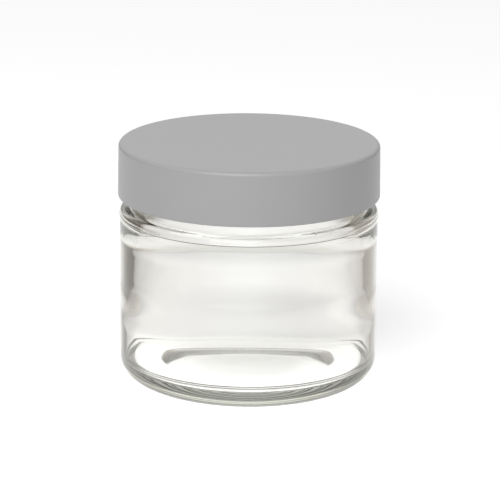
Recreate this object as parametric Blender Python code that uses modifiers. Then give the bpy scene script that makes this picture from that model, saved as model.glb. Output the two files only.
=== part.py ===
"""A straight-sided glass jar with a plain plastic screw cap, at its real size.

Units are metres and Z points up. The origin is the centre of the ring that the jar stands on.
The jar is one piece of glass, the cap is one moulding, and inside the cap lies a disc-shaped
liner of two layers. The neck and the cap share one right-hand, single-start thread.
"""

import math

import bmesh
import bpy

# Clearances that every fit uses
SEAT_GAP = 0.0002
THREAD_CLEARANCE = 0.00035
LINER_SIDE_GAP = 0.0003

# Thread shared by the glass neck and the cap: one start, right hand, six turns to the inch
THREAD_PITCH = 0.004233
THREAD_DEPTH = 0.0011
THREAD_FADE_TURNS = 0.09
RIDGE_END_SHARE = 0.3
RIDGE_SINK_SHARE = 0.1

# Glass jar, across
BORE_RADIUS = 0.0222
NECK_WALL = 0.0028
SHOULDER_LEDGE = 0.00245
WALL_AT_HEEL = 0.00135
WALL_UNDER_BELT = 0.00145
WALL_AT_BELT_FOOT = 0.00305
WALL_AT_BELT_TOP = 0.00325
BEARING_RING_WIDTH = 0.0045

# Glass jar, upwards
BODY_HEIGHT = 0.0372
FINISH_HEIGHT = 0.0114
FLOOR_THICKNESS = 0.0040
FLOOR_CROWN = 0.0004
PUNT_DEPTH = 0.0024
PUNT_FLATNESS = 4
WALL_TAPER_HEIGHT = 0.0064
BELT_RISE_HEIGHT = 0.0115
BELT_HEIGHT = 0.0060
BORE_FLARE_HEIGHT = 0.0090

# Glass jar, rounded edges
OUTER_HEEL_RADIUS = 0.0046
INNER_HEEL_RADIUS = 0.0006
SHOULDER_RADIUS = 0.0012
NECK_ROOT_RADIUS = 0.0006
LIP_RADIUS = 0.0008

# Ridge on the glass neck
NECK_RIDGE_RADIUS = 0.00115
NECK_RIDGE_BELOW_LAND = 0.0021
NECK_RIDGE_ABOVE_SHOULDER = 0.0045

# Liner layers
FACING_THICKNESS = 0.0002
BACKING_THICKNESS = 0.0007

# Screw cap
CAP_TOP_THICKNESS = 0.0010
CAP_WALL = 0.0012
CAP_DRAFT = 0.00015
CAP_EDGE_RADIUS = 0.0009
CAP_SKIRT_GAP = 0.0026
CAP_LIP_CHAMFER = 0.0002
CAP_MOUTH_CHAMFER = 0.0004
CAP_RIDGE_RADIUS = 0.00095
CAP_RIDGE_ABOVE_LIP = 0.0015
CAP_RIDGE_BELOW_LAND = 0.0034

# How finely round shapes are divided
SEGMENTS = 72
RIDGE_STEPS_PER_TURN = 40
RIDGE_BEVEL_RESOLUTION = 3
AXIS_MERGE = 0.00005

# Places that follow from the sizes
NECK_RADIUS = BORE_RADIUS + NECK_WALL
BODY_RADIUS = NECK_RADIUS + SHOULDER_LEDGE
CAVITY_HEEL_RADIUS = BODY_RADIUS - WALL_AT_HEEL
UNDER_BELT_RADIUS = BODY_RADIUS - WALL_UNDER_BELT
BELT_FOOT_RADIUS = BODY_RADIUS - WALL_AT_BELT_FOOT
BELT_TOP_RADIUS = BODY_RADIUS - WALL_AT_BELT_TOP
CAVITY_HEEL_Z = FLOOR_THICKNESS + INNER_HEEL_RADIUS
BELT_RISE_Z = CAVITY_HEEL_Z + WALL_TAPER_HEIGHT
BELT_FOOT_Z = BELT_RISE_Z + BELT_RISE_HEIGHT
BELT_TOP_Z = BELT_FOOT_Z + BELT_HEIGHT
BORE_FOOT_Z = BELT_TOP_Z + BORE_FLARE_HEIGHT
LAND_Z = BODY_HEIGHT + FINISH_HEIGHT
FACING_Z = LAND_Z + SEAT_GAP
BACKING_Z = FACING_Z + FACING_THICKNESS + SEAT_GAP
CAP_INSIDE_Z = BACKING_Z + BACKING_THICKNESS + SEAT_GAP
CAP_TOP_Z = CAP_INSIDE_Z + CAP_TOP_THICKNESS
CAP_LIP_Z = BODY_HEIGHT + CAP_SKIRT_GAP
CAP_BORE_RADIUS = NECK_RADIUS + THREAD_DEPTH + THREAD_CLEARANCE
CAP_TOP_RADIUS = CAP_BORE_RADIUS + CAP_WALL
CAP_LIP_RADIUS = CAP_TOP_RADIUS + CAP_DRAFT
LINER_RADIUS = CAP_BORE_RADIUS - LINER_SIDE_GAP
NECK_THREAD_FOOT_Z = BODY_HEIGHT + NECK_RIDGE_ABOVE_SHOULDER
NECK_THREAD_TOP_Z = LAND_Z - NECK_RIDGE_BELOW_LAND
CAP_THREAD_FOOT_Z = CAP_LIP_Z + CAP_RIDGE_ABOVE_LIP
CAP_THREAD_TOP_Z = LAND_Z - CAP_RIDGE_BELOW_LAND


def clear_scene():
    """Remove every object and collection that the file opened with."""
    for thing in list(bpy.data.objects):
        bpy.data.objects.remove(thing, do_unlink=True)
    for collection in list(bpy.data.collections):
        bpy.data.collections.remove(collection)


def new_collection(name):
    collection = bpy.data.collections.new(name)
    bpy.context.scene.collection.children.link(collection)
    return collection


def principled(name, colour, roughness, transmission=0.0, ior=1.5):
    """A material with one Principled BSDF."""
    material = bpy.data.materials.new(name)
    material.use_nodes = True
    shader = material.node_tree.nodes["Principled BSDF"]
    shader.inputs["Base Color"].default_value = (*colour, 1.0)
    shader.inputs["Roughness"].default_value = roughness
    shader.inputs["Metallic"].default_value = 0.0
    shader.inputs["Transmission Weight"].default_value = transmission
    shader.inputs["IOR"].default_value = ior
    return material


def arc(centre, radius, start, end, steps):
    """Points on a round stretch of a profile; angles in degrees, from +X towards +Z."""
    points = []
    for step in range(steps + 1):
        angle = math.radians(start + (end - start) * step / steps)
        points.append((centre[0] + radius * math.cos(angle), centre[1] + radius * math.sin(angle)))
    return points


def eased(first, last, steps):
    """Points from first to last that leave and arrive along Z, as blown glass does."""
    points = []
    for step in range(steps + 1):
        share = step / steps
        ease = share * share * (3 - 2 * share)
        radius = first[0] + (last[0] - first[0]) * ease
        height = first[1] + (last[1] - first[1]) * share
        points.append((radius, height))
    return points


def dome(edge_radius, edge_z, rise, steps, flatness=2):
    """Points of a shallow dome from the axis out to its edge, flatter on top as flatness grows."""
    points = []
    for step in range(steps + 1):
        share = step / steps
        points.append((edge_radius * share, edge_z + rise * (1 - share**flatness)))
    return points


def distinct(points):
    """The same points without neighbours that coincide."""
    kept = [points[0]]
    for point in points[1:]:
        if math.dist(point, kept[-1]) > AXIS_MERGE:
            kept.append(point)
    return kept


def turned(name, profile, collection, material):
    """A solid of revolution: a profile of (radius, height) points with a Screw modifier."""
    mesh = bpy.data.meshes.new(name)
    shape = bmesh.new()
    corners = [shape.verts.new((radius, 0.0, height)) for radius, height in distinct(profile)]
    for start, end in zip(corners, corners[1:]):
        shape.edges.new((start, end))
    shape.to_mesh(mesh)
    shape.free()
    solid = bpy.data.objects.new(name, mesh)
    solid.data.materials.append(material)
    collection.objects.link(solid)
    screw = solid.modifiers.new("Turn", "SCREW")
    screw.steps = SEGMENTS
    screw.render_steps = SEGMENTS
    screw.use_merge_vertices = True
    screw.merge_threshold = AXIS_MERGE
    screw.use_smooth_shade = True
    return solid


def ridge_fade(turn, first_turn, last_turn):
    """How far the ridge has risen at this turn, from 0 at its ends to 1 along its run."""
    inwards = min(turn - first_turn, last_turn - turn) / THREAD_FADE_TURNS
    share = min(1.0, max(0.0, inwards))
    return share * share * (3 - 2 * share)


def thread_ridge(name, foot_z, top_z, zero_z, wall_radius, ridge_radius, outwards, collection):
    """A helical ridge as a closed mesh, to be joined to a wall.

    zero_z is the height at which the helix would pass the +X side on turn zero, so that the
    ridges of the neck and the cap keep in step. Both ends shrink and sink into the wall.
    """
    side = 1.0 if outwards else -1.0
    first_turn = (foot_z - zero_z) / THREAD_PITCH
    last_turn = (top_z - zero_z) / THREAD_PITCH
    steps = math.ceil((last_turn - first_turn) * RIDGE_STEPS_PER_TURN)
    line = bpy.data.curves.new(name, "CURVE")
    line.dimensions = "3D"
    line.bevel_depth = ridge_radius
    line.bevel_resolution = RIDGE_BEVEL_RESOLUTION
    line.use_fill_caps = True
    spline = line.splines.new("POLY")
    spline.points.add(steps)
    for step in range(steps + 1):
        turn = first_turn + (last_turn - first_turn) * step / steps
        fade = ridge_fade(turn, first_turn, last_turn)
        thickness = ridge_radius * (RIDGE_END_SHARE + (1 - RIDGE_END_SHARE) * fade)
        height = THREAD_DEPTH * (fade - RIDGE_SINK_SHARE * (1 - fade))
        centre = wall_radius + side * (height - thickness)
        angle = 2 * math.pi * turn
        point = spline.points[step]
        point.co = (centre * math.cos(angle), centre * math.sin(angle), zero_z + THREAD_PITCH * turn, 1.0)
        point.radius = thickness / ridge_radius
    drawn = bpy.data.objects.new(name, line)
    collection.objects.link(drawn)
    return meshed(drawn, collection)


def meshed(drawn, collection):
    """Turn a curve object into a closed mesh object of the same name."""
    name = drawn.name
    bpy.context.view_layer.update()
    evaluated = drawn.evaluated_get(bpy.context.evaluated_depsgraph_get())
    mesh = bpy.data.meshes.new_from_object(evaluated)
    shape = bmesh.new()
    shape.from_mesh(mesh)
    bmesh.ops.remove_doubles(shape, verts=shape.verts, dist=AXIS_MERGE)
    bmesh.ops.recalc_face_normals(shape, faces=shape.faces)
    shape.to_mesh(mesh)
    shape.free()
    place = drawn.matrix_world.copy()
    bpy.data.objects.remove(drawn, do_unlink=True)
    solid = bpy.data.objects.new(name, mesh)
    solid.matrix_world = place
    solid.hide_render = True
    solid.display_type = "WIRE"
    collection.objects.link(solid)
    return solid


def joined(solid, extra):
    """Join a helper mesh to a solid with a Boolean union."""
    union = solid.modifiers.new("Join " + extra.name, "BOOLEAN")
    union.operation = "UNION"
    union.solver = "EXACT"
    union.object = extra


def jar_profile():
    """The glass from the middle of its floor, over the lip, down outside and under to the axis."""
    inner_heel_centre = (CAVITY_HEEL_RADIUS - INNER_HEEL_RADIUS, CAVITY_HEEL_Z)
    heel_centre = (BODY_RADIUS - OUTER_HEEL_RADIUS, OUTER_HEEL_RADIUS)
    ring_outer_radius = BODY_RADIUS - OUTER_HEEL_RADIUS
    ring_inner_radius = ring_outer_radius - BEARING_RING_WIDTH
    shoulder_centre = (BODY_RADIUS - SHOULDER_RADIUS, BODY_HEIGHT - SHOULDER_RADIUS)
    root_centre = (NECK_RADIUS + NECK_ROOT_RADIUS, BODY_HEIGHT + NECK_ROOT_RADIUS)

    points = dome(inner_heel_centre[0], FLOOR_THICKNESS, FLOOR_CROWN, 3)
    points += arc(inner_heel_centre, INNER_HEEL_RADIUS, -90, 0, 4)
    points += eased((UNDER_BELT_RADIUS, BELT_RISE_Z), (BELT_FOOT_RADIUS, BELT_FOOT_Z), 6)
    points += eased((BELT_TOP_RADIUS, BELT_TOP_Z), (BORE_RADIUS, BORE_FOOT_Z), 6)
    points += arc((BORE_RADIUS + LIP_RADIUS, LAND_Z - LIP_RADIUS), LIP_RADIUS, 180, 90, 3)
    points += arc((NECK_RADIUS - LIP_RADIUS, LAND_Z - LIP_RADIUS), LIP_RADIUS, 90, 0, 3)
    points += arc(root_centre, NECK_ROOT_RADIUS, 180, 270, 3)
    points += arc(shoulder_centre, SHOULDER_RADIUS, 90, 0, 4)
    points += arc(heel_centre, OUTER_HEEL_RADIUS, 0, -90, 6)
    points += list(reversed(dome(ring_inner_radius, 0.0, PUNT_DEPTH, 6, PUNT_FLATNESS)))
    return points


def cap_profile():
    """The cap from the middle of its top, down outside, round its lip and up inside."""
    edge_centre = (CAP_TOP_RADIUS - CAP_EDGE_RADIUS, CAP_TOP_Z - CAP_EDGE_RADIUS)
    points = [(0.0, CAP_TOP_Z)]
    points += arc(edge_centre, CAP_EDGE_RADIUS, 90, 0, 6)
    points += [
        (CAP_LIP_RADIUS, CAP_LIP_Z + CAP_LIP_CHAMFER),
        (CAP_LIP_RADIUS - CAP_LIP_CHAMFER, CAP_LIP_Z),
        (CAP_BORE_RADIUS + CAP_MOUTH_CHAMFER, CAP_LIP_Z),
        (CAP_BORE_RADIUS, CAP_LIP_Z + CAP_MOUTH_CHAMFER),
        (CAP_BORE_RADIUS, CAP_INSIDE_Z),
        (0.0, CAP_INSIDE_Z),
    ]
    return points


def disc_profile(radius, foot_z, thickness):
    """A plain disc from the middle of its top to the middle of its underside."""
    return [(0.0, foot_z + thickness), (radius, foot_z + thickness), (radius, foot_z), (0.0, foot_z)]


def build_glass_jar(parts, helpers):
    glass = principled("flint_glass", (0.93, 0.95, 0.93), 0.0, transmission=1.0, ior=1.52)
    jar = turned("glass_jar", jar_profile(), parts, glass)
    ridge = thread_ridge(
        "neck_thread",
        NECK_THREAD_FOOT_Z,
        NECK_THREAD_TOP_Z,
        NECK_THREAD_FOOT_Z,
        NECK_RADIUS,
        NECK_RIDGE_RADIUS,
        True,
        helpers,
    )
    joined(jar, ridge)
    return jar


def build_screw_cap(parts, helpers):
    plastic = principled("grey_polypropylene", (0.42, 0.42, 0.42), 0.42)
    cap = turned("screw_cap", cap_profile(), parts, plastic)
    ridge = thread_ridge(
        "cap_thread",
        CAP_THREAD_FOOT_Z,
        CAP_THREAD_TOP_Z,
        NECK_THREAD_FOOT_Z - THREAD_PITCH / 2,
        CAP_BORE_RADIUS,
        CAP_RIDGE_RADIUS,
        False,
        helpers,
    )
    joined(cap, ridge)
    return cap


def build_liner(parts):
    """The two layers of the liner: a soft foam backing, and the film that seals on the glass."""
    foam = principled("white_foam", (0.86, 0.86, 0.84), 0.75)
    film = principled("clear_film", (0.90, 0.90, 0.90), 0.25)
    turned("liner_backing", disc_profile(LINER_RADIUS, BACKING_Z, BACKING_THICKNESS), parts, foam)
    turned("liner_facing", disc_profile(LINER_RADIUS, FACING_Z, FACING_THICKNESS), parts, film)


def main():
    clear_scene()
    parts = new_collection("screw_cap_jar")
    helpers = new_collection("thread_helpers")
    build_glass_jar(parts, helpers)
    build_screw_cap(parts, helpers)
    build_liner(parts)


main()
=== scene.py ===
"""A straight-sided glass jar with a satin grey screw cap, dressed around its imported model.

The jar, the cap and the two layers of the cap's liner are each turned from an outline by one
Geometry Nodes tree, which also raises the thread, the mould seams and the marks under the base.
Lengths are metres, Z points up, and -Y is the side that the camera sees.
"""

import logging
import math
from dataclasses import dataclass, field
from enum import Enum
from functools import reduce

import bmesh
import bpy
from mathutils import Matrix, Vector


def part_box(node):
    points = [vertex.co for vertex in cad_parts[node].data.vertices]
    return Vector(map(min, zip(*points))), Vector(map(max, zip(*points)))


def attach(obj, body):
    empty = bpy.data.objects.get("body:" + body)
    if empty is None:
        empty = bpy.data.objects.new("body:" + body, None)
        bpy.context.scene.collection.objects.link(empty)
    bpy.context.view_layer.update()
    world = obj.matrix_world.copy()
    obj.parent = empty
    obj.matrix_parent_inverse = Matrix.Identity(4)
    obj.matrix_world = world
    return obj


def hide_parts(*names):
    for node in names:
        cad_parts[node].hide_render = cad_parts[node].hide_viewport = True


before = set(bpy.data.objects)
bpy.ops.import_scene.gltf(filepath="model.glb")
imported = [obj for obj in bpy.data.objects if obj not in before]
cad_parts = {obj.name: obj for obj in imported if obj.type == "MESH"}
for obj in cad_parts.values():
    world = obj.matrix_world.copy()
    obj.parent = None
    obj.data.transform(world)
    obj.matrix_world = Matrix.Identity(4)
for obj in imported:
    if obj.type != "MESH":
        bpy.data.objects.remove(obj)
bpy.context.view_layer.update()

LOG = logging.getLogger("screw_cap_jar")

Point = tuple[float, float]
Reach = tuple[float, float]
Colour = tuple[float, float, float]
Node = bpy.types.Node
NodeTree = bpy.types.NodeTree
Socket = bpy.types.NodeSocket
Material = bpy.types.Material
Piece = bpy.types.Object

# Distances under which points of an outline, of a turned mesh and of a sliver are one.
SAME_POINT = 1e-6
WELD_DISTANCE = 2e-6
SLIVER = 1e-7

# The least length of a direction across the floor that is divided by.
SHORTEST = 1e-4

WHITE: Colour = (1.0, 1.0, 1.0)


class Relief(Enum):
    """What a stretch of an outline carries besides its own shape."""

    PLAIN = "plain"
    THREAD = "thread_share"
    KNURL = "knurl_share"
    SEAM = "seam_share"


@dataclass
class Outline:
    """A turned piece's outline.

    Attributes:
        points: its points, each a radius and a height.
        reliefs: the relief that each point carries.
    """

    points: list[Point] = field(default_factory=list)
    reliefs: list[Relief] = field(default_factory=list)

    def add(self, point: Point, relief: Relief = Relief.PLAIN) -> None:
        """Add one point, unless it repeats the last one.

        Args:
            point: the point.
            relief: what it carries.
        """
        if self.points and math.dist(point, self.points[-1]) < SAME_POINT:
            return
        self.points.append(point)
        self.reliefs.append(relief)

    def line(self, end: Point, steps: int, relief: Relief = Relief.PLAIN) -> None:
        """Run straight from the last point.

        Args:
            end: where the run ends.
            steps: how many equal steps it is divided into.
            relief: what the run carries.
        """
        start = self.points[-1]
        for step in range(1, steps + 1):
            share = step / steps
            radius = start[0] + (end[0] - start[0]) * share
            height = start[1] + (end[1] - start[1]) * share
            self.add((radius, height), relief)

    def arc(self, centre: Point, radius: float, start: float, end: float, steps: int) -> None:
        """Add a round stretch.

        Args:
            centre: the arc's centre.
            radius: its radius.
            start: the angle it starts at, in degrees from the outward direction towards up.
            end: the angle it ends at.
            steps: how many equal steps it is divided into.
        """
        for step in range(steps + 1):
            angle = math.radians(start + (end - start) * step / steps)
            self.add((centre[0] + radius * math.cos(angle), centre[1] + radius * math.sin(angle)))

    def ease(self, end: Point, steps: int) -> None:
        """Run to a point so that the run leaves and arrives upright, as drawn glass does.

        Args:
            end: where the run ends.
            steps: how many steps of height it is divided into.
        """
        start = self.points[-1]
        for step in range(1, steps + 1):
            share = step / steps
            ease = share * share * (3 - 2 * share)
            self.add((start[0] + (end[0] - start[0]) * ease, start[1] + (end[1] - start[1]) * share))

    def bead(self, height: float, half: float, rise: float, steps: int) -> None:
        """Run down over a low round bead on the wall of the last point.

        Args:
            height: the height of the bead's middle.
            half: half its width, below zero for a run up.
            rise: how far it stands out, below zero for a bead towards the axis.
            steps: how many steps it is divided into.
        """
        radius = self.points[-1][0]
        for step in range(steps + 1):
            share = step / steps
            out = rise * (1 - math.cos(2 * math.pi * share)) / 2
            self.add((radius + out, height + half * (1 - 2 * share)))

    def dome(
        self, edge: Point, rise: float, steps: int, outwards: bool = True, flatness: float = 2.0
    ) -> None:
        """Add a shallow dome between the axis and an edge.

        Args:
            edge: the dome's edge.
            rise: how far its middle stands over its edge.
            steps: how many steps it is divided into.
            outwards: True from the axis to the edge, False from the edge to the axis.
            flatness: 2 for a plain bow, more for a flatter middle and a steeper edge.
        """
        shares = [step / steps for step in range(steps + 1)]
        for share in shares if outwards else reversed(shares):
            self.add((edge[0] * share, edge[1] + rise * (1 - share**flatness)))

    def as_object(self, name: str) -> Piece:
        """Make the outline an object of loose edges, with a share of each relief on its points.

        Args:
            name: the object's name.

        Returns:
            The object.
        """
        mesh = bpy.data.meshes.new(name)
        edges = [(index, index + 1) for index in range(len(self.points) - 1)]
        mesh.from_pydata([(radius, 0.0, height) for radius, height in self.points], edges, [])
        for relief in (Relief.THREAD, Relief.KNURL, Relief.SEAM):
            shares = mesh.attributes.new(relief.value, "FLOAT", "POINT")
            for index, own in enumerate(self.reliefs):
                shares.data[index].value = 1.0 if own is relief else 0.0
        drawn = bpy.data.objects.new(name, mesh)
        bpy.context.scene.collection.objects.link(drawn)
        return drawn


class TreeWriter:
    """Adds nodes to a tree and links them, so that a tree reads as a list of steps."""

    def __init__(self, tree: NodeTree) -> None:
        """Write into a tree."""
        self.tree = tree

    def feed(self, socket: Socket, value: object) -> None:
        """Link an output to an input, or set the input's own value.

        Args:
            socket: the input.
            value: an output, a number, a name, or the three parts of a colour.
        """
        if isinstance(value, Socket):
            self.tree.links.new(value, socket)
        elif socket.type == "RGBA":
            socket.default_value = (*value, 1.0)
        else:
            socket.default_value = value

    def dress(self, made: Node, inputs: dict[str | int, object]) -> None:
        """Feed several inputs of a node, each by its name or number."""
        for key, value in inputs.items():
            self.feed(made.inputs[key], value)

    def node(self, kind: str, inputs: dict[str | int, object] | None = None, **settings: object) -> Node:
        """Add a node.

        Args:
            kind: the node's Blender type.
            inputs: what its inputs are fed with, by name or number.
            settings: properties to set on it first.

        Returns:
            The node.
        """
        made = self.tree.nodes.new(kind)
        for key, value in settings.items():
            setattr(made, key, value)
        self.dress(made, inputs or {})
        return made

    def math(self, operation: str, *values: object) -> Socket:
        """Add a Math node with its inputs in order, as outputs or numbers."""
        return self.node("ShaderNodeMath", dict(enumerate(values)), operation=operation).outputs[0]

    def product(self, *values: object) -> Socket:
        """Multiply any number of outputs and numbers."""
        return reduce(lambda first, second: self.math("MULTIPLY", first, second), values)

    def where(self, mask: object, value: object) -> Socket:
        """Take a value where a mask is 1, and 1 where it is 0."""
        missing = self.math("SUBTRACT", 1.0, value)
        return self.math("SUBTRACT", 1.0, self.math("MULTIPLY", mask, missing))

    def ramp(self, value: object, low: object, high: object, start: object, end: object) -> Socket:
        """Map a value smoothly from one range to another.

        Args:
            value: what is mapped.
            low: where the result is start.
            high: where the result is end.
            start: the result at low.
            end: the result at high.

        Returns:
            The result's socket.
        """
        inputs = dict(enumerate((value, low, high, start, end)))
        return self.node("ShaderNodeMapRange", inputs, interpolation_type="SMOOTHSTEP").outputs[0]

    def parts(self, vector: Socket) -> bpy.types.NodeOutputs:
        """Split a vector into its X, Y and Z outputs."""
        return self.node("ShaderNodeSeparateXYZ", {0: vector}).outputs

    def joined(self, across: object, along: object, up: object) -> Socket:
        """Join three values into a vector."""
        return self.node("ShaderNodeCombineXYZ", {0: across, 1: along, 2: up}).outputs[0]

    def object_place(self) -> Socket:
        """The place on the piece, in its own coordinates."""
        return self.node("ShaderNodeTexCoord").outputs["Object"]

    def noise(self, place: Socket, size: Socket, detail: float) -> Socket:
        """Add a noise whose patches have a given size."""
        inputs = {"Vector": place, "Scale": self.math("DIVIDE", 1.0, size), "Detail": detail}
        return self.node("ShaderNodeTexNoise", inputs, noise_dimensions="3D").outputs["Fac"]

    def bump(self, height: Socket, depth: object) -> Socket:
        """Turn a height from 0 to 1 into a normal."""
        return self.node("ShaderNodeBump", {"Height": height, "Distance": depth}).outputs["Normal"]

    def mix(self, factor: Socket, start: object, end: object) -> Socket:
        """Mix two colours."""
        inputs = {"Factor": factor, "A": start, "B": end}
        return self.node("ShaderNodeMix", inputs, data_type="RGBA").outputs["Result"]

    def group(self, tree: NodeTree, values: dict[str, float]) -> bpy.types.NodeOutputs:
        """Place a shared group with a material's own values."""
        return self.node("ShaderNodeGroup", values, node_tree=tree).outputs


@dataclass(frozen=True)
class Thread:
    """A single-start right-hand thread ridge on a wall.

    Attributes:
        pitch: the rise in one turn.
        zero: the height at which the helix passes the +X side on turn zero.
        foot: the height at which the ridge starts.
        top: the height at which it ends.
        depth: how far it stands out of the wall, below zero on an inside wall.
        crest_half: half the width of its crest.
        foot_half: half its width at the wall.
        fade_turns: the share of a turn in which each end rises.
    """

    pitch: float
    zero: float
    foot: float
    top: float
    depth: float
    crest_half: float
    foot_half: float
    fade_turns: float


NO_THREAD = Thread(
    pitch=1.0, zero=0.0, foot=0.0, top=0.0, depth=0.0, crest_half=0.1, foot_half=0.2, fade_turns=1.0
)


@dataclass(frozen=True)
class Marks:
    """Knurl marks under a base, and the mould seams up a wall.

    Attributes:
        knurl_count: how many knurl marks go round.
        knurl_depth: how deep they are.
        seam_height: how far a seam stands out.
        seam_narrowness: how quickly a seam falls away to its sides.
    """

    knurl_count: float = 0.0
    knurl_depth: float = 0.0
    seam_height: float = 0.0
    seam_narrowness: float = 7000.0


NO_MARKS = Marks()


class TurningTree:
    """The Geometry Nodes tree that turns an outline and raises its relief."""

    NAME = "turned_outline"
    SIZES = (
        "Pitch", "Zero", "First Turn", "Last Turn", "Fade Turns", "Depth", "Crest Half", "Foot Half",
        "Knurl Count", "Knurl Depth", "Seam Height", "Seam Narrowness", "Weld Distance",
    )

    def __init__(self) -> None:
        """Build the tree once, for every turned piece."""
        self.tree = bpy.data.node_groups.new(self.NAME, "GeometryNodeTree")
        self.writer = TreeWriter(self.tree)
        self._sockets()
        self._body()

    def _sockets(self) -> None:
        face = self.tree.interface
        face.new_socket("Outline", in_out="INPUT", socket_type="NodeSocketGeometry")
        face.new_socket("Rows", in_out="INPUT", socket_type="NodeSocketInt")
        face.new_socket("Segments", in_out="INPUT", socket_type="NodeSocketInt")
        for name in self.SIZES:
            face.new_socket(name, in_out="INPUT", socket_type="NodeSocketFloat")
        face.new_socket("Finish", in_out="INPUT", socket_type="NodeSocketMaterial")
        face.new_socket("Solid", in_out="OUTPUT", socket_type="NodeSocketGeometry")

    def _sampled(self, outline: Socket, row: Socket, value: Socket, kind: str) -> Socket:
        """Read the outline's value at a row, of the kind FLOAT or FLOAT_VECTOR."""
        inputs = {"Geometry": outline, "Value": value, "Index": row}
        return self.writer.node("GeometryNodeSampleIndex", inputs, data_type=kind, domain="POINT").outputs[0]

    def _carried(self, outline: Socket, row: Socket, relief: Relief, height: Socket) -> Socket:
        """Keep a relief's height only where the outline carries that relief.

        Args:
            outline: the outline.
            row: the row of the point on it.
            relief: the relief.
            height: how high it would be.

        Returns:
            The socket of its height at the point.
        """
        named = {"Name": relief.value}
        share = self.writer.node("GeometryNodeInputNamedAttribute", named, data_type="FLOAT")
        share = self._sampled(outline, row, share.outputs["Attribute"], "FLOAT")
        return self.writer.math("MULTIPLY", height, share)

    def _body(self) -> None:
        """Lay a grid, wrap it round the axis along the outline, add the relief and weld it."""
        write = self.writer
        given = write.node("NodeGroupInput").outputs
        outline = given["Outline"]

        columns = write.math("ADD", given["Segments"], 1)
        grid = write.node("GeometryNodeMeshGrid", {"Vertices X": columns, "Vertices Y": given["Rows"]})
        index = write.node("GeometryNodeInputIndex").outputs[0]
        row = write.math("FLOORED_MODULO", index, given["Rows"])
        column = write.math("FLOOR", write.math("DIVIDE", write.math("ADD", index, 0.5), given["Rows"]))
        turn_share = write.math("DIVIDE", column, given["Segments"])
        angle = write.math("MULTIPLY", turn_share, 2 * math.pi)

        position = write.node("GeometryNodeInputPosition").outputs[0]
        place = write.parts(self._sampled(outline, row, position, "FLOAT_VECTOR"))
        radius, height = place["X"], place["Z"]

        ridge = self._carried(outline, row, Relief.THREAD, self._thread(given, turn_share, height))
        seam = self._carried(outline, row, Relief.SEAM, self._seam(given, angle))
        wave = write.math("COSINE", write.math("MULTIPLY", angle, given["Knurl Count"]))
        wave = write.math("MULTIPLY", write.math("SUBTRACT", 1, wave), given["Knurl Depth"])
        wave = self._carried(outline, row, Relief.KNURL, wave)

        reach = write.math("ADD", radius, write.math("ADD", ridge, seam))
        across = write.math("MULTIPLY", reach, write.math("COSINE", angle))
        along = write.math("MULTIPLY", reach, write.math("SINE", angle))
        spot = write.joined(across, along, write.math("ADD", height, wave))

        moved = {"Geometry": grid.outputs["Mesh"], "Position": spot}
        solid = write.node("GeometryNodeSetPosition", moved).outputs[0]
        welded = {"Geometry": solid, "Distance": given["Weld Distance"]}
        solid = write.node("GeometryNodeMergeByDistance", welded).outputs[0]
        solid = write.node("GeometryNodeSetShadeSmooth", {0: solid}).outputs[0]
        solid = write.node("GeometryNodeRealizeInstances", {0: solid}).outputs[0]
        dressed = {"Geometry": solid, "Material": given["Finish"]}
        solid = write.node("GeometryNodeSetMaterial", dressed).outputs[0]
        write.node("NodeGroupOutput", {"Solid": solid})

    def _seam(self, given: bpy.types.NodeOutputs, angle: Socket) -> Socket:
        """Work out how far the mould seams at the two sides stand out.

        Args:
            given: the tree's inputs.
            angle: the point's angle round the axis.

        Returns:
            The socket of the radial rise.
        """
        write = self.writer
        away = write.math("SUBTRACT", 1, write.math("ABSOLUTE", write.math("COSINE", angle)))
        seam = write.math("SUBTRACT", 1, write.math("MULTIPLY", away, given["Seam Narrowness"]))
        return write.math("MULTIPLY", write.math("MAXIMUM", seam, 0), given["Seam Height"])

    def _thread(self, given: bpy.types.NodeOutputs, turn_share: Socket, height: Socket) -> Socket:
        """Work out how far the thread ridge stands out at each point.

        Args:
            given: the tree's inputs.
            turn_share: the point's share of a turn.
            height: the point's height.

        Returns:
            The socket of the radial rise.
        """
        write = self.writer
        climbed = write.math("DIVIDE", write.math("SUBTRACT", height, given["Zero"]), given["Pitch"])
        apart = write.math("SUBTRACT", climbed, turn_share)
        whole = write.math("ROUND", apart)
        turn = write.math("ADD", whole, turn_share)
        offset = write.math("MULTIPLY", write.math("SUBTRACT", apart, whole), given["Pitch"])
        inwards = write.math(
            "MINIMUM",
            write.math("SUBTRACT", turn, given["First Turn"]),
            write.math("SUBTRACT", given["Last Turn"], turn),
        )
        fade = write.ramp(inwards, 0.0, given["Fade Turns"], 0.0, 1.0)
        offset = write.math("ABSOLUTE", offset)
        across = write.ramp(offset, given["Crest Half"], given["Foot Half"], 1.0, 0.0)
        return write.product(fade, across, given["Depth"])

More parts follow.
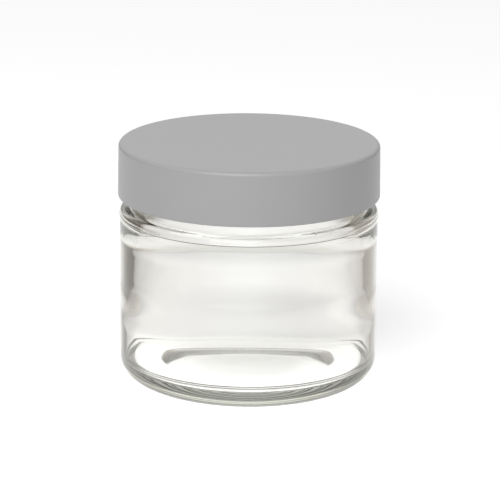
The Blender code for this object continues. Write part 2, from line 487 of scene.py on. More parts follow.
    def turn(
        self, name: str, outline: Outline, segments: int, finish: Material,
        thread: Thread = NO_THREAD, marks: Marks = NO_MARKS,
    ) -> Piece:
        """Turn an outline into a finished piece.

        Args:
            name: the piece's name.
            outline: its outline, from axis to axis.
            segments: how many steps go round.
            finish: its material.
            thread: the thread on its wall.
            marks: its knurl marks and seams.

        Returns:
            The piece, as a plain closed mesh at the origin.
        """
        drawn = outline.as_object(name)
        modifier = drawn.modifiers.new("Turn", "NODES")
        modifier.node_group = self.tree
        sizes = {
            "Rows": len(outline.points),
            "Segments": segments,
            "Pitch": thread.pitch,
            "Zero": thread.zero,
            "First Turn": (thread.foot - thread.zero) / thread.pitch,
            "Last Turn": (thread.top - thread.zero) / thread.pitch,
            "Fade Turns": thread.fade_turns,
            "Depth": thread.depth,
            "Crest Half": thread.crest_half,
            "Foot Half": thread.foot_half,
            "Knurl Count": marks.knurl_count,
            "Knurl Depth": marks.knurl_depth,
            "Seam Height": marks.seam_height,
            "Seam Narrowness": marks.seam_narrowness,
            "Weld Distance": WELD_DISTANCE,
            "Finish": finish,
        }
        for item in self.tree.interface.items_tree:
            if item.in_out == "INPUT" and item.name in sizes:
                modifier[item.identifier] = sizes[item.name]
        bpy.context.view_layer.update()
        evaluated = drawn.evaluated_get(bpy.context.evaluated_depsgraph_get())
        mesh = bpy.data.meshes.new_from_object(evaluated)
        mesh.name = name
        bpy.data.objects.remove(drawn, do_unlink=True)
        self._close(mesh)
        solid = bpy.data.objects.new(name, mesh)
        bpy.context.scene.collection.objects.link(solid)
        LOG.info("%s: %d faces", name, len(mesh.polygons))
        return solid

    @staticmethod
    def _close(mesh: bpy.types.Mesh) -> None:
        """Drop slivers at the poles, and turn the faces outwards.

        Args:
            mesh: the turned mesh.
        """
        shape = bmesh.new()
        shape.from_mesh(mesh)
        bmesh.ops.dissolve_degenerate(shape, dist=SLIVER, edges=shape.edges)
        if shape.calc_volume(signed=True) < 0:
            bmesh.ops.reverse_faces(shape, faces=shape.faces)
        shape.to_mesh(mesh)
        shape.free()


class PatternGroups:
    """Shader node groups that several finishes share."""

    def __init__(self) -> None:
        """Build each group once."""
        self.fine_grain = self._fine_grain()
        self.drawn_waves = self._drawn_waves()

    @staticmethod
    def _group(
        name: str, inputs: dict[str, float], outputs: dict[str, str]
    ) -> tuple[TreeWriter, bpy.types.NodeOutputs, Node]:
        """Start a group.

        Args:
            name: the group's name.
            inputs: its named numbers and their usual values.
            outputs: its named results and their socket types.

        Returns:
            Its writer, the sockets that come in, and the node that the results go to.
        """
        tree = bpy.data.node_groups.new(name, "ShaderNodeTree")
        face = tree.interface
        for key, value in inputs.items():
            face.new_socket(key, in_out="INPUT", socket_type="NodeSocketFloat").default_value = value
        for key, kind in outputs.items():
            face.new_socket(key, in_out="OUTPUT", socket_type=kind)
        write = TreeWriter(tree)
        return write, write.node("NodeGroupInput").outputs, write.node("NodeGroupOutput")

    def _fine_grain(self) -> NodeTree:
        """The spark-eroded grain of moulded plastic: a mottle, a roughness and a normal.

        Returns:
            The group.
        """
        write, given, result = self._group(
            "fine_grain",
            {
                "Grain Size": 0.00012, "Grain Depth": 0.000004, "Mottle Size": 0.006,
                "Roughness": 0.42, "Spread": 0.05,
            },
            {"Mottle": "NodeSocketFloat", "Roughness": "NodeSocketFloat", "Normal": "NodeSocketVector"},
        )
        place = write.object_place()
        grain = write.noise(place, given["Grain Size"], detail=2.0)
        mottle = write.noise(place, given["Mottle Size"], detail=3.0)
        swing = write.math("MULTIPLY", write.math("SUBTRACT", mottle, 0.5), given["Spread"])
        write.dress(result, {
            "Mottle": mottle,
            "Roughness": write.math("ADD", given["Roughness"], swing),
            "Normal": write.bump(grain, given["Grain Depth"]),
        })
        return write.tree

    def _drawn_waves(self) -> NodeTree:
        """The slow waves that blowing leaves in glass or film, as a normal.

        Returns:
            The group.
        """
        write, given, result = self._group(
            "drawn_waves",
            {"Wave Size": 0.012, "Wave Depth": 0.00004, "Stretch": 0.45},
            {"Normal": "NodeSocketVector"},
        )
        place = write.parts(write.object_place())
        drawn = write.joined(place["X"], place["Y"], write.math("MULTIPLY", place["Z"], given["Stretch"]))
        wave = write.noise(drawn, given["Wave Size"], detail=1.0)
        write.dress(result, {"Normal": write.bump(wave, given["Wave Depth"])})
        return write.tree


def new_material(name: str) -> tuple[Material, TreeWriter, Node, Node]:
    """Start a material.

    Args:
        name: the material's name.

    Returns:
        The material, its writer, its Principled shader and its output.
    """
    made = bpy.data.materials.new(name)
    made.use_nodes = True
    nodes = made.node_tree.nodes
    return made, TreeWriter(made.node_tree), nodes["Principled BSDF"], nodes["Material Output"]


def scaled(colour: Colour, share: float) -> Colour:
    """A colour made darker or lighter."""
    return tuple(part * share for part in colour)


@dataclass(frozen=True)
class FlintGlass:
    """Clear fire-polished glass that greens a little where it is thick.

    Attributes:
        ior: its refractive index.
        body_tint: the colour that a ray keeps of white in a thick stretch.
        tint_density: how strongly it does so, per metre.
        wave_size: the size of its slow waves.
        wave_depth: their depth.
    """

    ior: float = 1.52
    body_tint: Colour = (0.59, 0.63, 0.53)
    tint_density: float = 14.0
    wave_size: float = 0.011
    wave_depth: float = 0.00002

    def material(self, groups: PatternGroups) -> Material:
        """Make the material, which lets the lamp's light straight through.

        Args:
            groups: the shared patterns.

        Returns:
            The material.
        """
        made, write, shader, output = new_material("flint_glass")
        waves = write.group(
            groups.drawn_waves, {"Wave Size": self.wave_size, "Wave Depth": self.wave_depth}
        )
        write.dress(shader, {
            "Base Color": WHITE,
            "Roughness": 0.0,
            "IOR": self.ior,
            "Transmission Weight": 1.0,
            "Normal": waves["Normal"],
        })
        lit = write.node("ShaderNodeLightPath").outputs["Is Shadow Ray"]
        clear = write.node("ShaderNodeBsdfTransparent").outputs[0]
        surface = write.node("ShaderNodeMixShader", {0: lit, 1: shader.outputs[0], 2: clear})
        body = {"Color": self.body_tint, "Density": self.tint_density}
        volume = write.node("ShaderNodeVolumeAbsorption", body)
        write.dress(output, {"Surface": surface.outputs[0], "Volume": volume.outputs[0]})
        return made


@dataclass(frozen=True)
class SatinPlastic:
    """Moulded grey polypropylene with a fine even grain.

    Attributes:
        colour: its colour.
        mottle: how far the colour varies.
        roughness: its mean roughness.
        specular: its specular level.
    """

    colour: Colour = (0.43, 0.43, 0.43)
    mottle: float = 0.02
    roughness: float = 0.36
    specular: float = 0.5

    def material(self, groups: PatternGroups) -> Material:
        """Make the material.

        Args:
            groups: the shared patterns.

        Returns:
            The material.
        """
        made, write, shader, _ = new_material("satin_grey_plastic")
        grain = write.group(groups.fine_grain, {"Roughness": self.roughness})
        darker, lighter = scaled(self.colour, 1 - self.mottle), scaled(self.colour, 1 + self.mottle)
        write.dress(shader, {
            "Base Color": write.mix(grain["Mottle"], darker, lighter),
            "Roughness": grain["Roughness"],
            "Normal": grain["Normal"],
            "Specular IOR Level": self.specular,
        })
        return made


@dataclass(frozen=True)
class ClosedCellFoam:
    """White foam whose skin shows its cells.

    Attributes:
        colour: its colour.
        shade: the colour between its cells, a painted shade in the dents where the skin sinks.
        cell: the width of a cell.
        cell_edge: the share of a cell over which it goes over into the next.
        dent: how deep the skin sinks between cells.
        roughness: its roughness.
    """

    colour: Colour = (0.86, 0.86, 0.84)
    shade: Colour = (0.74, 0.74, 0.72)
    cell: float = 0.0005
    cell_edge: float = 0.25
    dent: float = 0.00004
    roughness: float = 0.75

    def material(self) -> Material:
        """Make the material.

        Returns:
            The material.
        """
        made, write, shader, _ = new_material("closed_cell_foam")
        inputs = {"Vector": write.object_place(), "Scale": 1.0 / self.cell}
        cells = write.node("ShaderNodeTexVoronoi", inputs, feature="DISTANCE_TO_EDGE")
        wall = write.ramp(cells.outputs["Distance"], 0.0, self.cell_edge, 0.0, 1.0)
        # The colour darkens towards each cell's edge, where the skin dents: painted shade in the dents.
        write.dress(shader, {
            "Base Color": write.mix(wall, self.shade, self.colour),
            "Normal": write.bump(wall, self.dent),
            "Roughness": self.roughness,
        })
        return made


@dataclass(frozen=True)
class SealFilm:
    """The smooth film that seals on the rim.

    Attributes:
        colour: its colour.
        mottle: how far the colour darkens in places.
        roughness: its mean roughness.
        wave_size: the size of its slow waves.
        wave_depth: their depth.
    """

    colour: Colour = (0.88, 0.88, 0.88)
    mottle: float = 0.03
    roughness: float = 0.22
    wave_size: float = 0.004
    wave_depth: float = 0.00002

    def material(self, groups: PatternGroups) -> Material:
        """Make the material.

        Args:
            groups: the shared patterns.

        Returns:
            The material.
        """
        made, write, shader, _ = new_material("seal_film")
        grain = write.group(groups.fine_grain, {"Roughness": self.roughness})
        waves = write.group(
            groups.drawn_waves, {"Wave Size": self.wave_size, "Wave Depth": self.wave_depth}
        )
        write.dress(shader, {
            "Base Color": write.mix(grain["Mottle"], scaled(self.colour, 1 - self.mottle), self.colour),
            "Roughness": grain["Roughness"],
            "Normal": waves["Normal"],
        })
        return made


@dataclass(frozen=True)
class ScrewFit:
    """The sizes that the glass neck and the cap share.

    Attributes:
        pitch: the thread's rise in one turn.
        depth: how far each ridge stands out of its wall.
        clearance: the gap between a ridge's crest and the other wall.
        fade_turns: the share of a turn in which each end of a ridge rises.
    """

    pitch: float = 0.004233
    depth: float = 0.0011
    clearance: float = 0.00035
    fade_turns: float = 0.09


@dataclass
class GlassJar:
    """The jar: one piece of glass from its bearing ring to its rim.

    Attributes:
        fit: the sizes that it shares with the cap.
        segments: how many steps go round it.
        bore_radius: the radius inside the neck.
        neck_wall: the thickness of the neck under its thread.
        wall_at_heel: the thickness of the wall at the foot of its inside.
        wall_under_belt: the same where the thick belt starts to swell.
        wall_at_belt_foot: the same where the belt has swollen.
        wall_at_belt_top: the same where the wall turns in to the bore.
        belt_rise_start: the height at which the belt starts to swell.
        belt_foot: the height at which it has swollen.
        belt_top: the height at which the wall turns in to the bore.
        bore_foot: the height at which the bore starts.
        bearing_ring_width: the width of the ring that the jar stands on.
        finish_height: the height of the neck over the shoulder.
        floor_thickness: the thickness of the floor over the bearing ring.
        floor_crown: how far the floor's middle stands over its edge.
        punt_depth: how far the base is pushed up.
        punt_flatness: how flat the middle of the push-up is, 2 for a plain bow.
        outer_heel_radius: the radius of the heel outside.
        inner_heel_radius: its radius inside.
        floor_ridge_height: the height of the low ridge on the wall round the floor.
        floor_ridge_half: half its width.
        floor_ridge_rise: how far it stands into the jar.
        shoulder_radius: the radius of the shoulder.
        neck_root_radius: the radius between the shoulder and the neck.
        parting_rise: how far the mould's parting line stands out.
        parting_half: half its width.
        lip_radius: the radius of the rim's two edges.
        thread_below_land: from the rim down to the end of the thread.
        thread_above_shoulder: from the shoulder up to its start.
        thread_crest_half: half the width of its crest.
        thread_foot_half: half its width at the wall.
        marks: the knurls of the bearing ring, and the mould seams.
    """

    fit: ScrewFit
    segments: int = 360
    bore_radius: float = 0.0222
    neck_wall: float = 0.0028
    wall_at_heel: float = 0.00135
    wall_under_belt: float = 0.00145
    wall_at_belt_foot: float = 0.00305
    wall_at_belt_top: float = 0.00325
    belt_rise_start: float = 0.0110
    belt_foot: float = 0.0225
    belt_top: float = 0.0285
    bore_foot: float = 0.0375
    bearing_ring_width: float = 0.0045
    finish_height: float = 0.0114
    floor_thickness: float = 0.0040
    floor_crown: float = 0.0004
    punt_depth: float = 0.0024
    punt_flatness: float = 4.0
    outer_heel_radius: float = 0.0046
    inner_heel_radius: float = 0.0006
    floor_ridge_height: float = 0.0051
    floor_ridge_half: float = 0.0004
    floor_ridge_rise: float = 0.0004
    shoulder_radius: float = 0.0012
    neck_root_radius: float = 0.0006
    parting_rise: float = 0.00011
    parting_half: float = 0.00025
    lip_radius: float = 0.0008
    thread_below_land: float = 0.0021
    thread_above_shoulder: float = 0.0045
    thread_crest_half: float = 0.00035
    thread_foot_half: float = 0.0012
    marks: Marks = Marks(knurl_count=90.0, knurl_depth=0.000006, seam_height=0.00002)

    def __post_init__(self) -> None:
        """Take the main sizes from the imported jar."""
        low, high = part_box("glass_jar")
        self.body_radius = (high.x - low.x) / 2
        self.land = high.z
        self.body_height = self.land - self.finish_height
        self.neck_radius = self.bore_radius + self.neck_wall

    def thread(self) -> Thread:
        """The thread on the neck.

        Returns:
            The thread.
        """
        foot = self.body_height + self.thread_above_shoulder
        return Thread(
            pitch=self.fit.pitch,
            zero=foot,
            foot=foot,
            top=self.land - self.thread_below_land,
            depth=self.fit.depth,
            crest_half=self.thread_crest_half,
            foot_half=self.thread_foot_half,
            fade_turns=self.fit.fade_turns,
        )

    def outline(self) -> Outline:
        """The glass from the middle of its floor, over the rim, down outside and under to the axis.

        Returns:
            The outline.
        """
        made = Outline()
        self._inside(made)
        self._neck(made)
        self._outside(made)
        return made

    def _inside(self, made: Outline) -> None:
        """Add the floor and the inner wall up to the rim.

        Args:
            made: the outline.
        """
        wall = self.body_radius - self.wall_at_heel
        heel = (wall - self.inner_heel_radius, self.floor_thickness + self.inner_heel_radius)
        made.dome((heel[0], self.floor_thickness), self.floor_crown, steps=12)
        made.arc(heel, self.inner_heel_radius, -90, 0, steps=18)
        made.bead(self.floor_ridge_height, -self.floor_ridge_half, -self.floor_ridge_rise, steps=14)
        made.line((self.body_radius - self.wall_under_belt, self.belt_rise_start), steps=10)
        made.ease((self.body_radius - self.wall_at_belt_foot, self.belt_foot), steps=36)
        made.line((self.body_radius - self.wall_at_belt_top, self.belt_top), steps=10)
        made.ease((self.bore_radius, self.bore_foot), steps=36)
        made.line((self.bore_radius, self.land - self.lip_radius), steps=10)

    def _neck(self, made: Outline) -> None:
        """Add the rim and the outside of the neck, down to the shoulder.

        Args:
            made: the outline.
        """
        lip_height = self.land - self.lip_radius
        made.arc((self.bore_radius + self.lip_radius, lip_height), self.lip_radius, 180, 90, steps=8)
        made.line((self.neck_radius - self.lip_radius, self.land), steps=2)
        made.arc((self.neck_radius - self.lip_radius, lip_height), self.lip_radius, 90, 0, steps=8)
        root = (self.neck_radius + self.neck_root_radius, self.body_height + self.neck_root_radius)
        made.line((self.neck_radius, root[1]), steps=52, relief=Relief.THREAD)
        made.arc(root, self.neck_root_radius, 180, 270, steps=6)

    def _outside(self, made: Outline) -> None:
        """Add the shoulder, the outer wall, the heel and the underside.

        Args:
            made: the outline.
        """
        shoulder = (self.body_radius - self.shoulder_radius, self.body_height - self.shoulder_radius)
        ring_outer = self.body_radius - self.outer_heel_radius
        made.arc(shoulder, self.shoulder_radius, 90, 0, steps=14)
        made.bead(shoulder[1] - self.parting_half, self.parting_half, self.parting_rise, steps=10)
        made.line((self.body_radius, self.outer_heel_radius), steps=22, relief=Relief.SEAM)
        made.arc((ring_outer, self.outer_heel_radius), self.outer_heel_radius, 0, -90, steps=24)
        ring = (ring_outer - self.bearing_ring_width, 0.0)
        made.line(ring, steps=6, relief=Relief.KNURL)
        made.dome(ring, self.punt_depth, steps=24, outwards=False, flatness=self.punt_flatness)

    def build(self, turning: TurningTree, finish: Material) -> None:
        """Make the jar and put it on its body.

        Args:
            turning: the tree that turns it.
            finish: its material.
        """
        piece = turning.turn("jar_glass", self.outline(), self.segments, finish, self.thread(), self.marks)
        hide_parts("glass_jar")
        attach(piece, "jar")


@dataclass
class ScrewCap:
    """The cap: one moulding with its thread inside.

    Attributes:
        fit: the sizes that it shares with the neck.
        jar: the jar that it closes.
        segments: how many steps go round it.
        top_thickness: the thickness of its top.
        wall: the thickness of its wall at the top.
        edge_radius: the radius of its top edge.
        lip_chamfer: the radius of its lip's outer edge.
        mouth_chamfer: the width of the chamfer inside its lip.
        thread_above_lip: from its lip up to the start of the thread.
        thread_below_land: from the jar's rim down to the end of the thread.
        thread_crest_half: half the width of its crest.
        thread_foot_half: half its width at the wall.
    """

    fit: ScrewFit
    jar: GlassJar
    segments: int = 288
    top_thickness: float = 0.0010
    wall: float = 0.0012
    edge_radius: float = 0.0009
    lip_chamfer: float = 0.0002
    mouth_chamfer: float = 0.0004
    thread_above_lip: float = 0.0015
    thread_below_land: float = 0.0034
    thread_crest_half: float = 0.0003
    thread_foot_half: float = 0.00095

    def __post_init__(self) -> None:
        """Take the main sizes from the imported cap."""
        low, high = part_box("screw_cap")
        self.lip, self.top = low.z, high.z
        self.lip_radius = (high.x - low.x) / 2
        self.bore_radius = self.jar.neck_radius + self.fit.depth + self.fit.clearance
        self.top_radius = self.bore_radius + self.wall
        self.inside = self.top - self.top_thickness

    def thread(self) -> Thread:
        """The thread inside, half a pitch under the neck's.

        Returns:
            The thread.
        """
        return Thread(
            pitch=self.fit.pitch,
            zero=self.jar.thread().zero - self.fit.pitch / 2,
            foot=self.lip + self.thread_above_lip,
            top=self.jar.land - self.thread_below_land,
            depth=-self.fit.depth,
            crest_half=self.thread_crest_half,
            foot_half=self.thread_foot_half,
            fade_turns=self.fit.fade_turns,
        )

    def outline(self) -> Outline:
        """The cap from the middle of its top, down outside, round its lip and up inside.

        Returns:
            The outline.
        """
        edge = (self.top_radius - self.edge_radius, self.top - self.edge_radius)
        lip_edge = (self.lip_radius - self.lip_chamfer, self.lip + self.lip_chamfer)
        made = Outline()
        made.add((0.0, self.top))
        made.line((edge[0], self.top), steps=10)
        made.arc(edge, self.edge_radius, 90, 0, steps=12)
        made.line((self.lip_radius, lip_edge[1]), steps=14)
        made.arc(lip_edge, self.lip_chamfer, 0, -90, steps=4)
        made.line((self.bore_radius + self.mouth_chamfer, self.lip), steps=2)
        made.line((self.bore_radius, self.lip + self.mouth_chamfer), steps=3)
        made.line((self.bore_radius, self.inside), steps=48, relief=Relief.THREAD)
        made.line((0.0, self.inside), steps=10)
        return made

    def build(self, turning: TurningTree, finish: Material) -> None:
        """Make the cap and put it on its body.

        Args:
            turning: the tree that turns it.
            finish: its material.
        """
        piece = turning.turn("cap_shell", self.outline(), self.segments, finish, self.thread())
        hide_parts("screw_cap")
        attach(piece, "cap")


@dataclass
class CapLiner:
    """The liner's two layers, each a disc with eased edges.

    Attributes:
        segments: how many steps go round each.
        edge_share: the radius of a layer's edges, as a share of its thickness.
    """

    segments: int = 192
    edge_share: float = 0.3

    def outline(self, node: str) -> Outline:
        """A disc from the middle of its top to the middle of its underside.

        Args:
            node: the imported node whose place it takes.

        Returns:
            The outline.
        """
        low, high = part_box(node)
        radius = (high.x - low.x) / 2
        ease = (high.z - low.z) * self.edge_share
        made = Outline()
        made.add((0.0, high.z))
        made.line((radius - ease, high.z), steps=12)
        made.arc((radius - ease, high.z - ease), ease, 90, 0, steps=4)
        made.arc((radius - ease, low.z + ease), ease, 0, -90, steps=4)
        made.line((0.0, low.z), steps=12)
        return made

    def build(self, turning: TurningTree, foam: Material, film: Material) -> None:
        """Make both layers and put them on the body that lifts with the cap.

        Args:
            turning: the tree that turns them.
            foam: the material of the backing.
            film: the material of the facing.
        """
        layers = (
            ("foam_disc", "liner_backing", "liner_foam", foam),
            ("seal_disc", "liner_facing", "liner_film", film),
        )
        for name, node, slot, finish in layers:
            piece = turning.turn(name, self.outline(node), self.segments, finish)
            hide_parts(node)
            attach(piece, "liner")


@dataclass(frozen=True)
class PhotoCamera:
    """The camera, where the photograph was taken from.

    Attributes:
        distance: from the camera to the point that it looks at.
        elevation: how far it looks down, in degrees.
        aim_height: the height of that point.
        turn: how far it is turned to its right, in degrees.
        roll: how far it is rolled anticlockwise, in degrees.
        lens: its focal length, in millimetres.
        sensor: the width of its sensor, in millimetres.
        clip: the nearest and the furthest distance that it shows.
    """

    distance: float = 0.565
    elevation: float = 15.75
    aim_height: float = 0.02727
    turn: float = 0.031
    roll: float = 0.47
    lens: float = 190.45
    sensor: float = 36.0
    clip: Reach = (0.01, 20.0)

    def build(self) -> None:
        """Place the camera."""
        data = bpy.data.cameras.new("camera")
        data.lens = self.lens
        data.sensor_width = self.sensor
        data.clip_start, data.clip_end = self.clip
        camera = bpy.data.objects.new("camera", data)
        bpy.context.scene.collection.objects.link(camera)
        angle = math.radians(self.elevation)
        back = Vector((0.0, -math.cos(angle), math.sin(angle)))
        right = Vector((1.0, 0.0, 0.0))
        pose = Matrix((right, back.cross(right), back)).transposed()
        pose = pose @ Matrix.Rotation(-math.radians(self.turn), 3, "Y")
        pose = pose @ Matrix.Rotation(math.radians(self.roll), 3, "Z")
        aim = Vector((0, 0, self.aim_height))
        camera.matrix_world = Matrix.Translation(aim + back * self.distance) @ pose.to_4x4()
        bpy.context.scene.camera = camera


class RayMasks:
    """Masks, each 1 or 0, for the kind of ray that a material or the world is asked for.

    Attributes:
        behind: what comes through the glass.
        scattered: what has met a dull surface on the way.
        seen: what the camera sees straight, by reflection or through the glass.
        bent: what it sees by reflection or through the glass.
        turned_inside: what it sees after the glass has reflected it inside itself.
        turned_twice: what was reflected more than once.
    """

    def __init__(self, write: TreeWriter) -> None:
        """Read the ray's path.

        Args:
            write: the writer of the tree that needs the masks.
        """
        path = write.node("ShaderNodeLightPath").outputs
        unscattered = write.math("LESS_THAN", path["Diffuse Depth"], 0.5)
        turned = write.math("GREATER_THAN", path["Glossy Depth"], 0.5)
        onwards = write.math("MAXIMUM", path["Is Glossy Ray"], path["Is Transmission Ray"])
        onwards = write.math("MULTIPLY", onwards, unscattered)
        self.behind = path["Is Transmission Ray"]
        self.scattered = write.math("GREATER_THAN", path["Diffuse Depth"], 0.5)
        self.seen = write.math("MAXIMUM", path["Is Camera Ray"], onwards)
        self.bent = write.math("MULTIPLY", write.math("MAXIMUM", turned, self.behind), unscattered)
        self.turned_inside = write.product(turned, unscattered, self.behind)
        self.turned_twice = write.math("GREATER_THAN", path["Glossy Depth"], 1.5)


@dataclass(frozen=True)
class SideFlags:
    """The dark flags at the two sides, which show only in the glass: no pieces, but shade in the
    surroundings and painted shade on the floor's light.

    Attributes:
        full_turn: how far sideways, in radians, they are at their darkest.
        end: the angles, in radians, between which they end further round.
        foot: the elevation, in radians, from which they give way.
        rise: how much faster than the elevation they give way.
        left: their brightness on the left.
        right: their brightness on the right.
        middle: how near the middle the one goes over into the other.
        tint: the colour of what they darken.
    """

    full_turn: float = 0.58
    end: Reach = (0.85, 1.15)
    foot: float = 0.07
    rise: float = 2.5
    left: float = 0.15
    right: float = 0.42
    middle: float = 0.1
    tint: Colour = (1.0, 0.84, 0.66)

    def given_way(self, write: TreeWriter, height: Socket) -> Socket:
        """Work out the angle by which the flags give way upwards.

        Args:
            write: the writer of the tree that needs it.
            height: the upward part of the direction.

        Returns:
            The socket of the angle.
        """
        climbed = write.math("SUBTRACT", write.math("ARCSINE", height), self.foot)
        return write.math("MAXIMUM", write.math("MULTIPLY", climbed, self.rise), 0.0)

    def shade(
        self, write: TreeWriter, rays: RayMasks, parts: bpy.types.NodeOutputs, given_way: object
    ) -> Socket:
        """Work out how dark the flags make a direction.

        Args:
            write: the writer of the tree that needs it.
            rays: its masks.
            parts: the direction's parts.
            given_way: by what angle the flags give way.

        Returns:
            The socket of the brightness, 1 where the flags don't reach.
        """
        across, along = write.math("ABSOLUTE", parts["X"]), write.math("ABSOLUTE", parts["Y"])
        turn = write.math("ARCTAN2", across, along)
        length = write.math("MAXIMUM", write.math("ADD", across, along), SHORTEST)
        side = write.math("DIVIDE", parts["X"], length)
        darkest = write.ramp(side, -self.middle, self.middle, self.left, self.right)
        sideways = write.math("SUBTRACT", turn, given_way)
        shade = write.ramp(sideways, 0.0, self.full_turn, 1.0, darkest)
        past = write.math("MULTIPLY", write.ramp(turn, *self.end, 0.0, 1.0), rays.behind)
        return write.math("MAXIMUM", shade, past)


@dataclass(frozen=True)
class Studio:
    """The floor, the lamp and the surroundings.

    Attributes:
        camera: the camera.
        flags: the flags at the two sides.
        floor_radius: the radius of the floor.
        floor_colour: the colour of its paper.
        floor_glow: the light that the paper adds for the camera.
        floor_glow_in_glass: the same for what is seen through the glass.
        painted_shade_and_light_bands: distances from the jar's axis between which that light changes, and by
            what; they paint shade and light in rings on the floor round the jar.
        painted_flag_shade_reach: distances from the axis between which the flags' painted shade begins on
            the floor.
        painted_shadow_share: the share of the floor's own light that is left under the base, a painted
            shadow.
        painted_shadow_reach: distances from the axis between which that light comes back.
        ambient: the soft light from all round.
        under_glass: the same for what it lights through the glass.
        key_power: the lamp's power, in watts.
        key_size: its width.
        key_place: where it stands.
        window_tint: the colour of what is seen through the glass.
        turned_twice: what is left of light that the glass has reflected inside itself twice or more.
        seen_under: the brightness of what the glass shows from right under the jar.
        under_reach: the upward parts of a direction between which that comes back.
        seen_in_front: the brightness of what the glass reflects inside itself from the camera's side.
        front_reach: the far parts of a direction between which that comes back.
        seen_far: the brightness of what the glass shows at the horizon.
        far_reach: the upward parts of a direction between which that comes back.
        light_turns: how often light may turn inside thick glass before it is given up.
    """

    camera: PhotoCamera = PhotoCamera()
    flags: SideFlags = SideFlags()
    floor_radius: float = 3.0
    floor_colour: Colour = (0.90, 0.90, 0.90)
    floor_glow: float = 0.50
    floor_glow_in_glass: float = 0.65
    painted_shade_and_light_bands: tuple[tuple[float, float, float], ...] = (
        (0.048, 0.062, 0.74),
        (0.078, 0.105, 1.08),
        (0.15, 0.45, 0.72),
    )
    painted_flag_shade_reach: Reach = (0.03, 0.12)
    painted_shadow_share: float = 0.46
    painted_shadow_reach: Reach = (0.009, 0.018)
    ambient: float = 0.32
    under_glass: float = 0.3
    key_power: float = 6.9
    key_size: float = 0.7
    key_place: tuple[float, float, float] = (-0.20, -0.72, 0.80)
    window_tint: Colour = (1.0, 0.99, 0.94)
    turned_twice: float = 0.75
    seen_under: float = 0.5
    under_reach: Reach = (-0.7, -0.4)
    seen_in_front: float = 0.5
    front_reach: Reach = (-0.4, 0.2)
    seen_far: float = 0.82
    far_reach: Reach = (0.05, 0.2)
    light_turns: int = 64

    def build(self) -> None:
        """Set up everything around the object."""
        self.camera.build()
        self._floor()
        self._lamp()
        self._world()
        bpy.context.scene.view_settings.view_transform = "Standard"
        for turns in ("max_bounces", "glossy_bounces", "transmission_bounces"):
            setattr(bpy.context.scene.cycles, turns, self.light_turns)

    def _tint(self, write: TreeWriter, through: Socket, shade: Socket) -> Socket:
        """Colour what comes through the glass, and leave the rest white.

        Args:
            write: the writer of the tree that needs it.
            through: 1 for what comes through the glass, and else 0.
            shade: the brightness that the flags leave it.

        Returns:
            The socket of the colour.
        """
        flagged = write.math("MULTIPLY", through, write.math("SUBTRACT", 1.0, shade))
        return write.mix(flagged, write.mix(through, WHITE, self.window_tint), self.flags.tint)

    def _floor(self) -> None:
        """A white floor that keeps the shadow of the object."""
        mesh = bpy.data.meshes.new("floor")
        shape = bmesh.new()
        bmesh.ops.create_circle(shape, cap_ends=True, segments=128, radius=self.floor_radius)
        shape.to_mesh(mesh)
        shape.free()
        floor = bpy.data.objects.new("floor", mesh)
        bpy.context.scene.collection.objects.link(floor)
        mesh.materials.append(self._floor_paper())

    def _floor_paper(self) -> Material:
        """White paper with a light of its own, which only the camera sees; through the glass that light
        carries painted shade and light round the jar, and a painted shadow under the base.

        Returns:
            The material.
        """
        made, write, shader, output = new_material("floor_paper")
        made.node_tree.nodes.remove(shader)
        rays = RayMasks(write)
        place = write.object_place()
        away = write.node("ShaderNodeVectorMath", {0: place}, operation="LENGTH").outputs["Value"]
        # The flags' shade is painted on the floor's light at the sides, away from the axis.
        shade = self.flags.shade(write, rays, write.parts(place), 0.0)
        shade = write.where(write.ramp(away, *self.painted_flag_shade_reach, 0.0, 1.0), shade)
        # Painted shade and painted light in rings round the jar, seen only through the glass.
        bands = [write.ramp(away, start, end, 1.0, share) for start, end, share in self.painted_shade_and_light_bands]
        in_glass = write.product(shade, *bands, self.floor_glow_in_glass)
        more = write.math("MULTIPLY", rays.behind, write.math("SUBTRACT", in_glass, self.floor_glow))
        level = write.math("ADD", more, self.floor_glow)
        # Painted shadow under the base: the floor's own light is dimmed there.
        under = write.ramp(away, *self.painted_shadow_reach, self.painted_shadow_share, 1.0)
        glow = write.node("ShaderNodeEmission", {
            "Strength": write.product(rays.seen, level, under),
            "Color": self._tint(write, rays.behind, shade),
        })
        paper = write.node("ShaderNodeBsdfDiffuse", {"Color": self.floor_colour})
        both = write.node("ShaderNodeAddShader", {0: paper.outputs[0], 1: glow.outputs[0]})
        clear = write.node("ShaderNodeBsdfTransparent").outputs[0]
        shown = write.node("ShaderNodeMixShader", {0: rays.turned_inside, 1: both.outputs[0], 2: clear})
        write.dress(output, {"Surface": shown.outputs[0]})
        return made

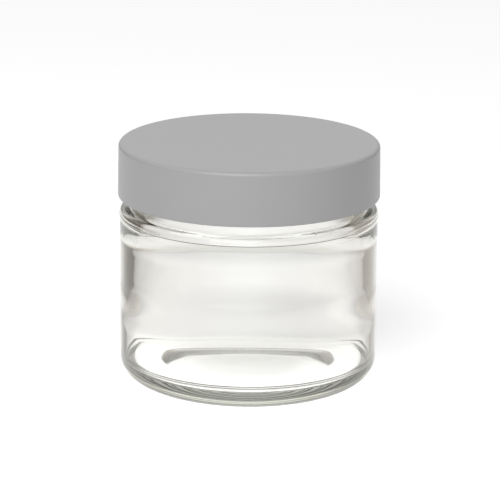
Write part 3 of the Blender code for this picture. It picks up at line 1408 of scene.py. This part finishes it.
    def _lamp(self) -> None:
        """A square lamp that faces the object."""
        data = bpy.data.lights.new("key_lamp", "AREA")
        data.energy = self.key_power
        data.size = self.key_size
        lamp = bpy.data.objects.new("key_lamp", data)
        lamp.location = self.key_place
        lamp.rotation_euler = Vector(self.key_place).to_track_quat("Z", "Y").to_euler()
        lamp.visible_transmission = False
        bpy.context.scene.collection.objects.link(lamp)

    def _world(self) -> None:
        """White where the camera sees it, shaded at the sides for the glass, and a plain soft light."""
        world = bpy.data.worlds.new("surroundings")
        bpy.context.scene.world = world
        world.use_nodes = True
        write = TreeWriter(world.node_tree)
        rays = RayMasks(write)
        parts = write.parts(write.node("ShaderNodeTexCoord").outputs["Generated"])

        less = write.product(rays.scattered, rays.behind, self.ambient - self.under_glass)
        soft = write.math("SUBTRACT", self.ambient, less)
        plain = write.math("ADD", write.math("MULTIPLY", rays.seen, 1.0 - self.ambient), soft)

        shade = self.flags.shade(write, rays, parts, self.flags.given_way(write, parts["Z"]))
        front = write.ramp(parts["Y"], *self.front_reach, self.seen_in_front, 1.0)
        in_glass = write.product(
            shade,
            write.where(rays.turned_twice, self.turned_twice),
            write.ramp(parts["Z"], *self.under_reach, self.seen_under, 1.0),
            write.where(rays.turned_inside, front),
            write.ramp(parts["Z"], *self.far_reach, self.seen_far, 1.0),
        )
        strength = write.node("ShaderNodeMix", {0: rays.bent, 2: plain, 3: in_glass}, data_type="FLOAT")
        through = write.math("MULTIPLY", rays.bent, rays.behind)
        write.dress(world.node_tree.nodes["Background"], {
            "Strength": strength.outputs[0],
            "Color": self._tint(write, through, shade),
        })


def main() -> None:
    """Build the jar, its cap, the liner and the studio."""
    logging.basicConfig(level=logging.INFO, format="%(name)s: %(message)s")
    turning = TurningTree()
    groups = PatternGroups()
    fit = ScrewFit()
    jar = GlassJar(fit)
    jar.build(turning, FlintGlass().material(groups))
    ScrewCap(fit, jar).build(turning, SatinPlastic().material(groups))
    CapLiner().build(turning, ClosedCellFoam().material(), SealFilm().material(groups))
    Studio().build()


if __name__ == "__main__":
    main()
